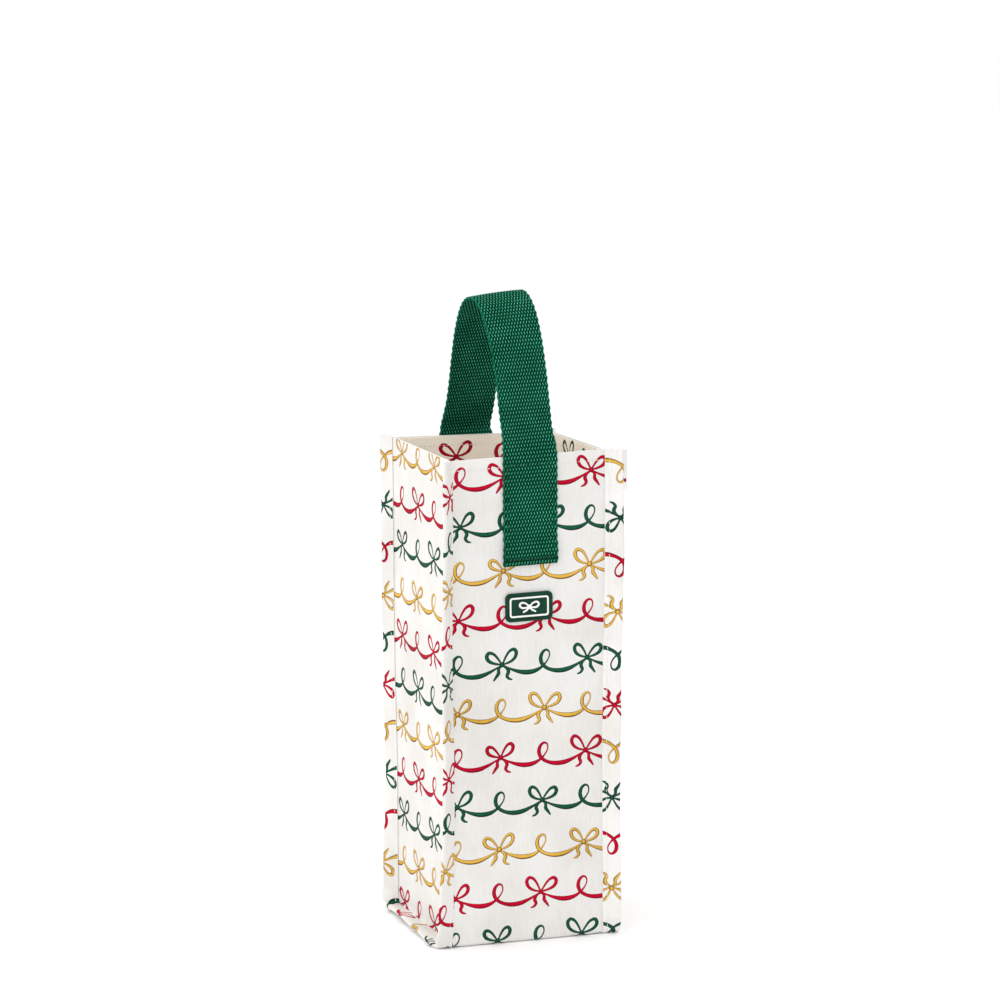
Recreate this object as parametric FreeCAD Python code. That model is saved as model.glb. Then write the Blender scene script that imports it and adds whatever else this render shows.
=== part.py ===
import FreeCAD, Part
import os
from math import asin, atan2, cos, hypot, pi, sin, sqrt

from FreeCAD import Vector

# A square, upright gift bag for one bottle: printed fabric walls with a lining, outside seams bound with
# tape, a base board, a rubber patch and one webbing handle sewn to the front and the back.
# Millimetres. The origin is the middle of the footprint, on the surface that the bag stands on.
# +Z is up, the front faces -Y and +X is to the right of someone who faces the front.

# Driving dimensions
WIDTH = 109.0            # outside of the walls, both ways
HEIGHT = 328.0           # rim above the floor
FABRIC = 0.9             # printed outer fabric
LINING = 0.6
BOARD = 2.0              # stiff board in the base
BOARD_GAP = 0.5          # between the board's edge and the walls
FIN_REACH = 13.0         # how far a bound seam stands out from its corner
FIN_THICKNESS = 3.0      # two seam allowances in a folded tape
STRAP_WIDTH = 38.1
STRAP_THICKNESS = 1.6
STRAP_DROP = 73.0        # sewn length below the rim
STRAP_RISE = 102.0       # top of the loop above the rim
CROWN_RADIUS = 26.0      # middle of the strap over the top of the loop
BEND_LENGTH = 30.0       # leg of the loop that bends where it leaves the rim
FOLD_LENGTH = 12.0       # end of the strap turned under before it is sewn
PATCH_WIDTH = 33.5
PATCH_HEIGHT = 19.0
PATCH_THICKNESS = 1.6
PATCH_CORNER = 3.5
PATCH_CENTRE_Z = 227.5
RELIEF = 0.4             # height of the raised marks on the patch
BORDER_INSET = 2.8
BORDER_WIDTH = 1.2
BORDER_CORNER = 1.6
FOLD_RAMP = 6.5          # strap's step down from its turned-under end
THREAD_WIDTH = 0.6
THREAD_HEIGHT = 0.3
HEM_DROP = 7.0           # topstitching below the rim
SEAM_STITCH_REACH = 3.0  # binding's stitches out from the corner
STITCH_INSET = 2.5       # strap's stitches in from its edge

HALF = WIDTH / 2
INNER = HALF - FABRIC            # inside face of the outer fabric
CLEAR = INNER - LINING           # inside face of the lining
LINED_FLOOR = FABRIC + BOARD     # underside of the base lining
HALF_FIN = FIN_THICKNESS / 2
HALF_STRAP = STRAP_WIDTH / 2
STRAP_LINE = HALF + STRAP_THICKNESS / 2   # middle of the strap, out from the bag's centre
UP = Vector(0, 0, 1)

os.makedirs("parts", exist_ok=True)


def save(name, *solids):
    shape = solids[0] if len(solids) == 1 else Part.makeCompound(list(solids))
    shape.exportStep("parts/" + name + ".step")


def box(low, high):
    size = Vector(*high) - Vector(*low)
    return Part.makeBox(size.x, size.y, size.z, Vector(*low))


def polygon(points):
    return Part.Face(Part.makePolygon(points + points[:1]))


def turned(shape, degrees):
    return shape.rotated(Vector(), UP, degrees)


def rounded_plate(width, height, radius, face_y, thickness):
    """A plate with round corners on the patch's centre, standing out from face_y towards the front."""
    plate = box(
        (-width / 2, face_y - thickness, PATCH_CENTRE_Z - height / 2),
        (width / 2, face_y, PATCH_CENTRE_Z + height / 2),
    )
    corners = [e for e in plate.Edges if abs(e.tangentAt(e.FirstParameter).y) > 0.99]
    return plate.makeFillet(radius, corners)


# Walls. Each is drawn as the front one, mitred into its neighbours, and turned into its place.
def wall(outside, thickness, low, high):
    inside = outside - thickness
    section = polygon(
        [
            Vector(-outside, -outside, low),
            Vector(outside, -outside, low),
            Vector(inside, -inside, low),
            Vector(-inside, -inside, low),
        ]
    )
    return section.extrude(UP * (high - low))


WALL_TURNS = {"front": 0, "right": 90, "back": 180, "left": 270}
for side, turn in WALL_TURNS.items():
    panel = side + ("_panel" if side in ("front", "back") else "_side_panel")
    save(panel, turned(wall(HALF, FABRIC, FABRIC, HEIGHT), turn))
    save(side + "_lining", turned(wall(INNER, LINING, LINED_FLOOR + LINING, HEIGHT), turn))

# Base: printed panel, board and lining, one on the other
board_half = INNER - BOARD_GAP
save("base_panel", box((-HALF, -HALF, 0), (HALF, HALF, FABRIC)))
save("base_board", box((-board_half, -board_half, FABRIC), (board_half, board_half, LINED_FLOOR)))
save("base_lining", box((-INNER, -INNER, LINED_FLOOR), (INNER, INNER, LINED_FLOOR + LINING)))


# Bound seams. A standing one leaves its corner diagonally; its tape is folded round at the tip.
def standing_binding():
    """The seam at the corner between the front and the right side."""
    root = [Vector(-HALF_FIN, HALF_FIN, 0), Vector(), Vector(-HALF_FIN, -HALF_FIN, 0)]
    neck = FIN_REACH - HALF_FIN
    lower = Vector(neck, -HALF_FIN, 0)
    upper = Vector(neck, HALF_FIN, 0)
    edges = [
        Part.LineSegment(root[0], root[1]).toShape(),
        Part.LineSegment(root[1], root[2]).toShape(),
        Part.LineSegment(root[2], lower).toShape(),
        Part.Arc(lower, Vector(FIN_REACH, 0, 0), upper).toShape(),
        Part.LineSegment(upper, root[0]).toShape(),
    ]
    bar = Part.Face(Part.Wire(edges)).extrude(UP * (HEIGHT - FIN_THICKNESS))
    return turned(bar, -45).translated(Vector(HALF, -HALF, FIN_THICKNESS))


def foot_binding():
    """The seam along the foot of the right side, flat on the floor and rounded at both ends."""
    neck = HALF + FIN_REACH - HALF_FIN
    bottom = Vector(neck, -HALF, 0)
    top = Vector(neck, -HALF, FIN_THICKNESS)
    inner_top = Vector(HALF, -HALF, FIN_THICKNESS)
    inner_bottom = Vector(HALF, -HALF, 0)
    edges = [
        Part.LineSegment(inner_bottom, bottom).toShape(),
        Part.Arc(bottom, Vector(neck + HALF_FIN, -HALF, HALF_FIN), top).toShape(),
        Part.LineSegment(top, inner_top).toShape(),
        Part.LineSegment(inner_top, inner_bottom).toShape(),
    ]
    section = Part.Face(Part.Wire(edges))
    bar = section.extrude(Vector(0, WIDTH, 0))
    front_end = section.revolve(inner_bottom, UP, -45)
    back_end = front_end.mirror(Vector(), Vector(0, 1, 0))
    return bar.fuse([front_end, back_end]).removeSplitter()


CORNER_TURNS = {"front_right": 0, "back_right": 90, "back_left": 180, "front_left": 270}
for corner, turn in CORNER_TURNS.items():
    save(corner + "_binding", turned(standing_binding(), turn))
save("bottom_right_binding", foot_binding())
save("bottom_left_binding", turned(foot_binding(), 180))


# Stitching: each run of thread is one flat bar on the cloth
def seam_threads(side):
    """Threads of one side's binding: both faces of its standing seams, and the top of its foot seam."""
    threads = []
    for towards_back in (0, 1):
        for face in (-1, 1):
            face_n = face * (HALF_FIN + THREAD_HEIGHT / 2)
            bar = box(
                (SEAM_STITCH_REACH, face_n - THREAD_HEIGHT / 2, FIN_THICKNESS + THREAD_WIDTH),
                (SEAM_STITCH_REACH + THREAD_WIDTH, face_n + THREAD_HEIGHT / 2, HEIGHT - THREAD_WIDTH),
            )
            bar = turned(bar, -45).translated(Vector(HALF, -HALF, 0))
            threads.append(turned(bar, 90 * towards_back + (180 if side == "left" else 0)))
    foot = box(
        (HALF + SEAM_STITCH_REACH, -HALF + HALF_FIN, FIN_THICKNESS),
        (HALF + SEAM_STITCH_REACH + THREAD_WIDTH, HALF - HALF_FIN, FIN_THICKNESS + THREAD_HEIGHT),
    )
    threads.append(turned(foot, 180 if side == "left" else 0))
    return threads


def hem_threads(gap):
    """Topstitching across the front wall, left open by gap in the middle, where the strap covers it."""
    low = HEIGHT - HEM_DROP - THREAD_WIDTH / 2
    end = HALF - HALF_FIN - THREAD_WIDTH
    spans = ((-end, -gap), (gap, end)) if gap else ((-end, end),)
    return [
        box((start, -HALF - THREAD_HEIGHT, low), (stop, -HALF, low + THREAD_WIDTH)) for start, stop in spans
    ]


def strap_threads():
    """The frame of stitches round the strap's sewn end on the front."""
    side = HALF_STRAP - STITCH_INSET
    face = -HALF - STRAP_THICKNESS
    low = HEIGHT - STRAP_DROP + FOLD_LENGTH + FOLD_RAMP + THREAD_WIDTH
    high = HEIGHT - STITCH_INSET
    outer = box((-side, face - THREAD_HEIGHT, low), (side, face, high))
    inner = box(
        (-side + THREAD_WIDTH, face - 2 * THREAD_HEIGHT, low + THREAD_WIDTH),
        (side - THREAD_WIDTH, face + THREAD_HEIGHT, high - THREAD_WIDTH),
    )
    return outer.cut(inner)


for side in ("left", "right"):
    save(side + "_binding_stitching", *seam_threads(side))
for side, turn in WALL_TURNS.items():
    strap_gap = HALF_STRAP if side in ("front", "back") else 0
    save(side + "_hem_stitching", *[turned(t, turn) for t in hem_threads(strap_gap)])


# Handle: the sewn end on the front, the leg that bends, and the loop; the rear ones are turned round
def strap_end():
    low = HEIGHT - STRAP_DROP
    doubled = HALF + 2 * STRAP_THICKNESS
    single = HALF + STRAP_THICKNESS
    profile = polygon(
        [
            Vector(-HALF_STRAP, -HALF, low),
            Vector(-HALF_STRAP, -doubled, low),
            Vector(-HALF_STRAP, -doubled, low + FOLD_LENGTH),
            Vector(-HALF_STRAP, -single, low + FOLD_LENGTH + FOLD_RAMP),
            Vector(-HALF_STRAP, -single, HEIGHT),
            Vector(-HALF_STRAP, -HALF, HEIGHT),
        ]
    )
    return profile.extrude(Vector(STRAP_WIDTH, 0, 0))


# Each leg leans in from the rim and runs into the round top of the loop at a tangent.
crown_z = HEIGHT + STRAP_RISE - STRAP_THICKNESS / 2 - CROWN_RADIUS
lean = atan2(STRAP_LINE, crown_z - HEIGHT) - asin(CROWN_RADIUS / hypot(STRAP_LINE, crown_z - HEIGHT))
leg_length = sqrt(STRAP_LINE**2 + (crown_z - HEIGHT) ** 2 - CROWN_RADIUS**2)
half_thick = STRAP_THICKNESS / 2


def on_leg(distance, offset):
    """A point on the front leg, distance up from the rim and offset outwards from the strap's middle."""
    return Vector(
        -HALF_STRAP,
        -STRAP_LINE + distance * sin(lean) - offset * cos(lean),
        HEIGHT + distance * cos(lean) + offset * sin(lean),
    )


def strap_bend():
    profile = polygon(
        [
            Vector(-HALF_STRAP, -HALF, HEIGHT),
            Vector(-HALF_STRAP, -HALF - STRAP_THICKNESS, HEIGHT),
            on_leg(BEND_LENGTH, half_thick),
            on_leg(BEND_LENGTH, -half_thick),
        ]
    )
    return profile.extrude(Vector(STRAP_WIDTH, 0, 0))


def back_of(point):
    return Vector(point.x, -point.y, point.z)


def strap_loop():
    def crown(radius):
        return Vector(-HALF_STRAP, 0, crown_z + radius)

    outer_low, outer_high = on_leg(BEND_LENGTH, half_thick), on_leg(leg_length, half_thick)
    inner_low, inner_high = on_leg(BEND_LENGTH, -half_thick), on_leg(leg_length, -half_thick)
    outer_top, inner_top = crown(CROWN_RADIUS + half_thick), crown(CROWN_RADIUS - half_thick)
    edges = [
        Part.LineSegment(inner_low, outer_low).toShape(),
        Part.LineSegment(outer_low, outer_high).toShape(),
        Part.Arc(outer_high, outer_top, back_of(outer_high)).toShape(),
        Part.LineSegment(back_of(outer_high), back_of(outer_low)).toShape(),
        Part.LineSegment(back_of(outer_low), back_of(inner_low)).toShape(),
        Part.LineSegment(back_of(inner_low), back_of(inner_high)).toShape(),
        Part.Arc(back_of(inner_high), inner_top, inner_high).toShape(),
        Part.LineSegment(inner_high, inner_low).toShape(),
    ]
    return Part.Face(Part.Wire(edges)).extrude(Vector(STRAP_WIDTH, 0, 0))


for name, turn in (("front", 0), ("rear", 180)):
    save("handle_" + name + "_end", turned(strap_end(), turn))
    save("handle_" + name + "_bend", turned(strap_bend(), turn))
    save("handle_" + name + "_stitching", turned(strap_threads(), turn))
save("handle_loop", strap_loop())

# Patch: rubber base, raised border line and a small raised bow
patch_face = -HALF - PATCH_THICKNESS
save("patch_base", rounded_plate(PATCH_WIDTH, PATCH_HEIGHT, PATCH_CORNER, -HALF, PATCH_THICKNESS))
border_outer = rounded_plate(
    PATCH_WIDTH - 2 * BORDER_INSET,
    PATCH_HEIGHT - 2 * BORDER_INSET,
    BORDER_CORNER,
    patch_face,
    RELIEF,
)
border_inner = rounded_plate(
    PATCH_WIDTH - 2 * (BORDER_INSET + BORDER_WIDTH),
    PATCH_HEIGHT - 2 * (BORDER_INSET + BORDER_WIDTH),
    BORDER_CORNER / 2,
    patch_face,
    RELIEF,
)
save("patch_border", border_outer.cut(border_inner))


def patch_bow():
    """A plain bow: two loops as wedges, a round knot and two tails, all of one height."""
    def raised(points):
        flat = [Vector(x, patch_face, PATCH_CENTRE_Z + z) for x, z in points]
        return polygon(flat).extrude(Vector(0, -RELIEF, 0))

    loop = [(0.5, 0.6), (6.2, 4.0), (7.6, 1.4), (6.2, -1.6)]
    tail = [(0.2, 0.6), (1.6, 0.0), (5.0, -3.9), (3.0, -3.9)]
    knot = Part.makeCylinder(
        1.5, RELIEF, Vector(0, patch_face, PATCH_CENTRE_Z + 0.8), Vector(0, -1, 0)
    )
    pieces = [raised(loop), raised([(-x, z) for x, z in loop])]
    pieces += [raised(tail), raised([(-x, z) for x, z in tail])]
    return knot.fuse(pieces).removeSplitter()


save("patch_motif", patch_bow())

print("crown centre z", round(crown_z, 1), "lean", round(lean * 180 / pi, 1), "leg", round(leg_length, 1))
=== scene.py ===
from math import cos, floor, pi, radians, sin

import bpy
import numpy as np
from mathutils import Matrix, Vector
from mathutils.geometry import delaunay_2d_cdt


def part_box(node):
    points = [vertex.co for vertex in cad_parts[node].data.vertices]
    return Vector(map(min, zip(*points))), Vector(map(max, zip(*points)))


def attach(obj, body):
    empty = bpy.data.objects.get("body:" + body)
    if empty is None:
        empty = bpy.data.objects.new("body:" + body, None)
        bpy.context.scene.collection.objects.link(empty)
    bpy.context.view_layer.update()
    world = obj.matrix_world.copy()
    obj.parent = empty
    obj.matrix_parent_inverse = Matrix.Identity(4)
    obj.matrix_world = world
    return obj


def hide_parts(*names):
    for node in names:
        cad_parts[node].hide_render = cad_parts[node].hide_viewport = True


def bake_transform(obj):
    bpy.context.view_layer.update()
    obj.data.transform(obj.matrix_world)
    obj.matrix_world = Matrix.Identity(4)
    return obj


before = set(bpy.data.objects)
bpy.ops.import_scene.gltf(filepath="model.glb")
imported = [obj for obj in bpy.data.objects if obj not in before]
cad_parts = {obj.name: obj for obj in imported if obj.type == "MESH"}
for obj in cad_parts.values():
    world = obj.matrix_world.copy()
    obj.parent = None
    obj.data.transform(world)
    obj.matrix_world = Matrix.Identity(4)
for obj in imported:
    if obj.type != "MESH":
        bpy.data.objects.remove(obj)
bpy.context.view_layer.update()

# A square gift bag for one bottle, worked out in millimetres in the CAD model's frame. make_mesh scales it
# to metres. Lists of points are drawn.
MM = 0.001


# ---- sizes, read from the frame
def node_box(name):
    low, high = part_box(name)
    return low / MM, high / MM


HALF = node_box("front_panel")[1].x  # outside of the walls
RIM = node_box("front_panel")[1].z
FABRIC = node_box("base_panel")[1].z
CLEAR = -node_box("front_lining")[1].y  # inside face of the lining
LINING = HALF - FABRIC - CLEAR
LINED_FLOOR = node_box("base_lining")[1].z
FIN_REACH = node_box("bottom_right_binding")[1].x - HALF
HEM_LOW, HEM_HIGH = node_box("left_hem_stitching")
STRAP_WIDTH = node_box("handle_loop")[1].x * 2
END_LOW, END_HIGH = node_box("handle_front_end")
STRAP_FOOT = END_LOW.z
PATCH_LOW, PATCH_HIGH = node_box("patch_base")

CORNER = HALF - FABRIC  # where the inner faces of two walls meet in a seam
TAPE = 0.45  # cloth of the binding
FIN_HALF = 1.4  # half the thickness of a bound seam
SEAM_INSIDE = 9.8  # seam allowance inside the binding
TAPE_START = 1.5  # binding's free edges, out from the corner of the inner faces
SEAM_STITCH_REACH = 4.4
STITCH_END = 4.0  # where a run of stitches begins, from the end of its cloth
WHITE_GIRTH = 0.55  # of the white thread
BINDING_PITCH = 3.1  # from stitch to stitch
HEM_PITCH = 3.2
STITCH_GAP = 0.6
ON_CLOTH = 0.02  # height of a stitch's middle
LINING_DROP = 0.8  # from the rim to the lining's edge
BEND = 1.8  # radius at which a wall turns out into its seam
FOOT_BEND = 2.4  # radius of the fold at the foot of the front and the back
FOOT_TUCK = 6.0  # cloth of the front and the back that lies under the base
SEAM_EASE = 8.0  # over which the cloth at the foot rises to the middle of its seam
BEND_STEP = 0.7  # between the lines of the mesh where the cloth bends
BACK_PITCH = 1.6  # of the unprinted face's mesh, over the printed face's
CORNER_RADIUS = FOOT_BEND - FABRIC
ROW_PITCH = 31.3  # between the garlands of the print
ROW_DRIFT = 0.55  # sideways, from one garland to the next
GARLAND_PERIOD = 61.4  # from bow to bow


# ---- how the cloth has settled
# Each corner of the bag has moved a little: (side, depth): (shift at the rim, shift at the foot)
CORNER_SHIFTS = {
    (-1, -1): ((0.8, 0, -1.3), (1.9, 0, 0)),
    (1, -1): ((-0.5, 0.3, 1.4), (-1.2, -0.8, 0)),
    (-1, 1): ((-2.6, 0.5, 0), (0.3, 0, 0)),
    (1, 1): ((2.2, -1, -1.2), (0, 0, 0)),
}
WALL_BOWS = {"front": 1.0, "back": 1.3, "left": 0.7, "right": -0.9}


def settle(p):
    """The settled place of points of the ideal square bag."""
    x, y, z = p.T
    height = np.clip(z / RIM, 0, 1)
    across = np.clip(x / HALF, -1, 1)
    deep = np.clip(y / HALF, -1, 1)
    moved = p.copy()
    for (side, depth), (rim, foot) in CORNER_SHIFTS.items():
        share = (1 + side * across) * (1 + depth * deep) / 4
        shift = np.outer(1 - height, foot) + np.outer(height, rim)
        moved += share[:, None] * shift
    rise = np.sin(pi * height) ** 0.8
    bow_y = np.where(y < 0, WALL_BOWS["front"], WALL_BOWS["back"])
    bow_x = np.where(x < 0, WALL_BOWS["left"], WALL_BOWS["right"])
    ripple_y = 0.45 * np.sin(z / 31 + x / 17 + 1.1) + 0.3 * np.sin(z / 13.7 - x / 23 + y / 40)
    ripple_x = 0.45 * np.sin(z / 27 - y / 19 + 0.4) + 0.3 * np.sin(z / 15.1 + y / 21 + x / 40)
    free_x = 1 - across**2
    free_y = 1 - deep**2
    moved[:, 1] += deep * free_x * rise * (bow_y + ripple_y)
    moved[:, 0] += across * free_y * rise * (bow_x + ripple_x)
    # a slow waver of the four upright edges
    edge = np.abs(across * deep) ** 3 * np.sin(pi * height)
    moved[:, 0] += edge * 0.5 * np.sin(z / 37 + x / HALF)
    moved[:, 1] += edge * 0.5 * np.sin(z / 29 + y / HALF + 2)
    return moved


def smooth(t):
    t = np.clip(t, 0, 1)
    return t * t * (3 - 2 * t)


def unit(vectors):
    return vectors / np.linalg.norm(vectors, axis=1)[:, None]


# ---- the print: garlands of ribbon and bows
# Strokes of one period of a garland, as (x, z, width), with the bow's knot at (0, 0)
SWAG = [
    (0.8, -0.5, 1), (5, -2.8, 1.4), (10.5, -5, 2.4), (16.5, -6.3, 3.3), (22.5, -6, 3.1),
    (27.5, -4, 2), (31.4, -0.6, 1.2), (33.6, 3.2, 1), (33.2, 6.6, 1.2), (30.8, 7.6, 1.7),
    (28.2, 5.4, 2.4), (27.4, 1.4, 2.8), (29.2, -2.6, 2.5), (33.8, -5.6, 2.4), (40, -7, 3.1),
    (46.5, -6.6, 3.2), (52.5, -4.6, 2.2), (57.5, -2.2, 1.3), (60.6, -0.5, 1),
]
LEFT_LOOP = [
    (-0.4, 0.4, 1.2), (-2.6, 3.8, 1.5), (-5.8, 7.4, 1.9), (-9.2, 8.4, 2.4), (-10.8, 6, 2.7),
    (-9.2, 2.9, 2.4), (-5.2, 1, 1.7), (-0.4, 0.1, 1.2),
]
RIGHT_LOOP = [
    (0.4, 0.4, 1.2), (2.2, 4.6, 1.5), (4.9, 8.6, 1.9), (8.1, 9.9, 2.3), (9.9, 7.6, 2.6),
    (8.8, 4, 2.3), (5.2, 1.4, 1.7), (0.4, 0.1, 1.2),
]
LEFT_TAIL = [
    (-0.5, -0.7, 1.3), (-2.4, -2.8, 2.1), (-2.5, -5.8, 2.5), (-4.2, -8.2, 2), (-6, -10.8, 1),
]
RIGHT_TAIL = [
    (0.5, -0.7, 1.3), (3.2, -2.4, 2.1), (4.5, -5, 2.6), (3.5, -7.8, 2.3), (5, -9.8, 1.7),
    (7.4, -10.6, 0.9),
]
KNOT_RADIUS = 1.8
PRINT_REACH = 15  # the most that a garland reaches past its place
# The inks' edges and bright middles, as a screen shows them
INK_COLOURS = {
    "red": ((138, 0, 32), (200, 0, 46)),
    "green": ((8, 44, 32), (22, 88, 62)),
    "gold": ((126, 86, 34), (234, 185, 76)),
}
STROKE_STEP = 0.5  # fine points of a stroke, thinned where it runs straight
STROKE_TURN = radians(16)  # most turn, and most length, of one piece of a stroke
STROKE_LENGTH = 2.4
BRIGHT_SHARE = 0.6  # of a stroke's width that its bright middle takes
BRIGHT_SHIFT = (-0.05, 0.09)  # of that middle, in widths


def curve_through(points, step):
    """Points about step apart on a smooth curve through given ones; further columns go along."""
    p = np.array(points, float)
    p = np.vstack([2 * p[0] - p[1], p, 2 * p[-1] - p[-2]])
    samples = []
    for a, b, c, d in zip(p, p[1:], p[2:], p[3:]):
        count = max(2, round(float(np.linalg.norm((c - b)[:2])) / step))
        for t in np.arange(count) / count:
            square = 2 * a - 5 * b + 4 * c - d
            cube = 3 * b - a - 3 * c + d
            samples.append(0.5 * (2 * b + (c - a) * t + square * t**2 + cube * t**3))
    samples.append(p[-2])
    return np.array(samples)


def directions(s):
    """Unit tangent and left-hand normal at each point of a stroke."""
    tangent = unit(np.gradient(s[:, :2], axis=0))
    return tangent, np.column_stack([-tangent[:, 1], tangent[:, 0]])


def run_along(points):
    """Distance of each point from the first along a line."""
    return np.concatenate([[0], np.cumsum(np.linalg.norm(np.diff(points, axis=0), axis=1))])


def thinned(s, tangent):
    """Which of the fine points of a stroke are kept: close together only where it turns."""
    heading = np.unwrap(np.arctan2(tangent[:, 1], tangent[:, 0]))
    length = run_along(s[:, :2])
    kept = [0]
    for i in range(1, len(s) - 1):
        turned = np.abs(heading[i + 1] - heading[kept[-1]])
        if turned > STROKE_TURN or length[i + 1] - length[kept[-1]] > STROKE_LENGTH:
            kept.append(i)
    return kept + [len(s) - 1]


def stroke_quads(points):
    """(corners, dark?) of the pieces of one stroke, in painting order: a dark edge with a bright middle.
    The dark pieces go one ahead, so that none of them cuts the bright piece before it."""
    s = curve_through(points, STROKE_STEP)
    tangent, normal = directions(s)
    kept = thinned(s, tangent)
    s, normal = s[kept], normal[kept]
    half = s[:, 2:3] * 0.5
    bright = s[:, :2] + s[:, 2:3] * BRIGHT_SHIFT
    layers = []
    for middle, share in ((s[:, :2], 1), (bright, BRIGHT_SHARE)):
        left = middle + normal * half * share
        right = middle - normal * half * share
        layers.append(np.stack([right[:-1], right[1:], left[1:], left[:-1]], axis=1))
    edges, middles = layers
    pieces = [(edges[0], True)]
    for edge, middle in zip(edges[1:], middles):
        pieces += [(edge, True), (middle, False)]
    return pieces + [(middles[-1], False)]


def disc(radius, count=16):
    turn = np.arange(count) * 2 * pi / count
    return np.column_stack([np.cos(turn), np.sin(turn)]) * radius


def bow_period(side, plump):
    """All pieces of one period of the garland. Side -1 mirrors the bow, and plump scales its loops."""
    pieces = stroke_quads(SWAG)
    for stroke, scale in ((LEFT_TAIL, 1), (RIGHT_TAIL, 1), (LEFT_LOOP, plump), (RIGHT_LOOP, plump)):
        pieces += stroke_quads([(side * scale * x, scale * z, w) for x, z, w in stroke])
    return pieces + [(disc(KNOT_RADIUS), True), (disc(KNOT_RADIUS * 0.66) + (-0.1, 0.2), False)]


BOWS = [bow_period(1, 1.0), bow_period(-1, 0.94), bow_period(1, 0.9), bow_period(-1, 1.04)]


def print_pieces(low, high, first_row, first_ink, bow_at):
    """Painted pieces over the flat rectangle from low to high: (corners, ink index).
    first_row is the height of the top garland's knots, and bow_at the place of one of its bows."""
    pieces = []
    row = floor((first_row - high[1]) / ROW_PITCH) - 1
    while first_row - row * ROW_PITCH > low[1] - PRINT_REACH:
        height = first_row - row * ROW_PITCH
        ink = (first_ink + row) % len(INK_COLOURS)
        start = bow_at + (row % 2) * GARLAND_PERIOD / 2 - row * ROW_DRIFT
        count = floor((low[0] - start) / GARLAND_PERIOD) - 1
        while start + count * GARLAND_PERIOD < high[0] + PRINT_REACH:
            offset = np.array([start + count * GARLAND_PERIOD, height])
            for corners, dark in BOWS[(row * 3 + count) % len(BOWS)]:
                placed = corners + offset
                if np.all(placed.max(0) > low) and np.all(placed.min(0) < high):
                    pieces.append((placed, 1 + 2 * ink + (0 if dark else 1)))
            count += 1
        row += 1
    return pieces


# ---- cloth shells
def grid_lines(low, high, pitch, bends):
    """Evenly spaced lines between low and high, with closer ones where the sheet bends."""
    count = max(1, round((high - low) / pitch))
    lines = low + (high - low) * np.arange(1, count) / count
    bends = np.array([b for b in bends if low < b < high])
    if len(bends):
        lines = lines[np.min(np.abs(lines[:, None] - bends), axis=1) > BEND_STEP / 2]
    return np.concatenate([lines, bends])


def triangulate(outline, pieces, pitch, bends):
    """Cuts a flat outline into triangles along its printed pieces. Gives points, triangles, their inks and
    where each given point went."""
    low, high = outline.min(0), outline.max(0)
    points = outline.tolist()
    faces = [list(range(len(outline)))]
    inks = [0]
    for corners, ink in pieces:
        (ax, ay), (bx, by) = corners[1] - corners[0], corners[2] - corners[0]
        face = [len(points) + k for k in range(len(corners))]
        faces.append(face[::-1] if ax * by < ay * bx else face)
        points += corners.tolist()
        inks.append(ink)
    rows = grid_lines(low[1], high[1], pitch, bends[1])
    for u in grid_lines(low[0], high[0], pitch, bends[0]):
        points += [(u, v) for v in rows]
    out = delaunay_2d_cdt([Vector(p) for p in points], [], faces, 0, 1e-4, True)
    triangles, colours = [], []
    for face, source in zip(out[2], out[5]):
        if 0 in source:
            triangles.append(face)
            colours.append(inks[max(source)])
    found_at = {given: made for made, sources in enumerate(out[3]) for given in sources}
    return np.array([tuple(v) for v in out[0]]), triangles, colours, found_at


def boundary_of(triangles):
    """The vertices round the edge of a sheet of triangles, in order, with the sheet on their left."""
    edges = {edge: True for a, b, c in triangles for edge in ((a, b), (b, c), (c, a))}
    following = {a: b for a, b in edges if (b, a) not in edges}
    start = next(iter(following))
    loop = [start]
    while following[loop[-1]] != start:
        loop.append(following[loop[-1]])
    return loop


def refine(outline, step, bends):
    """The outline's corners with points between them, about step apart and closer at bends."""
    result = []
    for a, b in zip(outline, np.roll(outline, -1, axis=0)):
        axis = int(abs(b[1] - a[1]) > abs(b[0] - a[0]))
        lines = grid_lines(min(a[axis], b[axis]), max(a[axis], b[axis]), step, bends[axis])
        shares = np.sort((lines - a[axis]) / (b[axis] - a[axis]))
        result += [a] + [a + (b - a) * share for share in shares]
    return np.array(result)


def make_mesh(name, points, faces, materials, face_materials=None):
    """A mesh object in metres from points in millimetres."""
    mesh = bpy.data.meshes.new(name)
    mesh.from_pydata((np.asarray(points) * MM).tolist(), [], faces)
    for material in materials:
        mesh.materials.append(material)
    if face_materials is not None:
        mesh.polygons.foreach_set("material_index", face_materials)
    mesh.polygons.foreach_set("use_smooth", [True] * len(mesh.polygons))
    mesh.update()
    thing = bpy.data.objects.new(name, mesh)
    bpy.context.scene.collection.objects.link(thing)
    return thing


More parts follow.
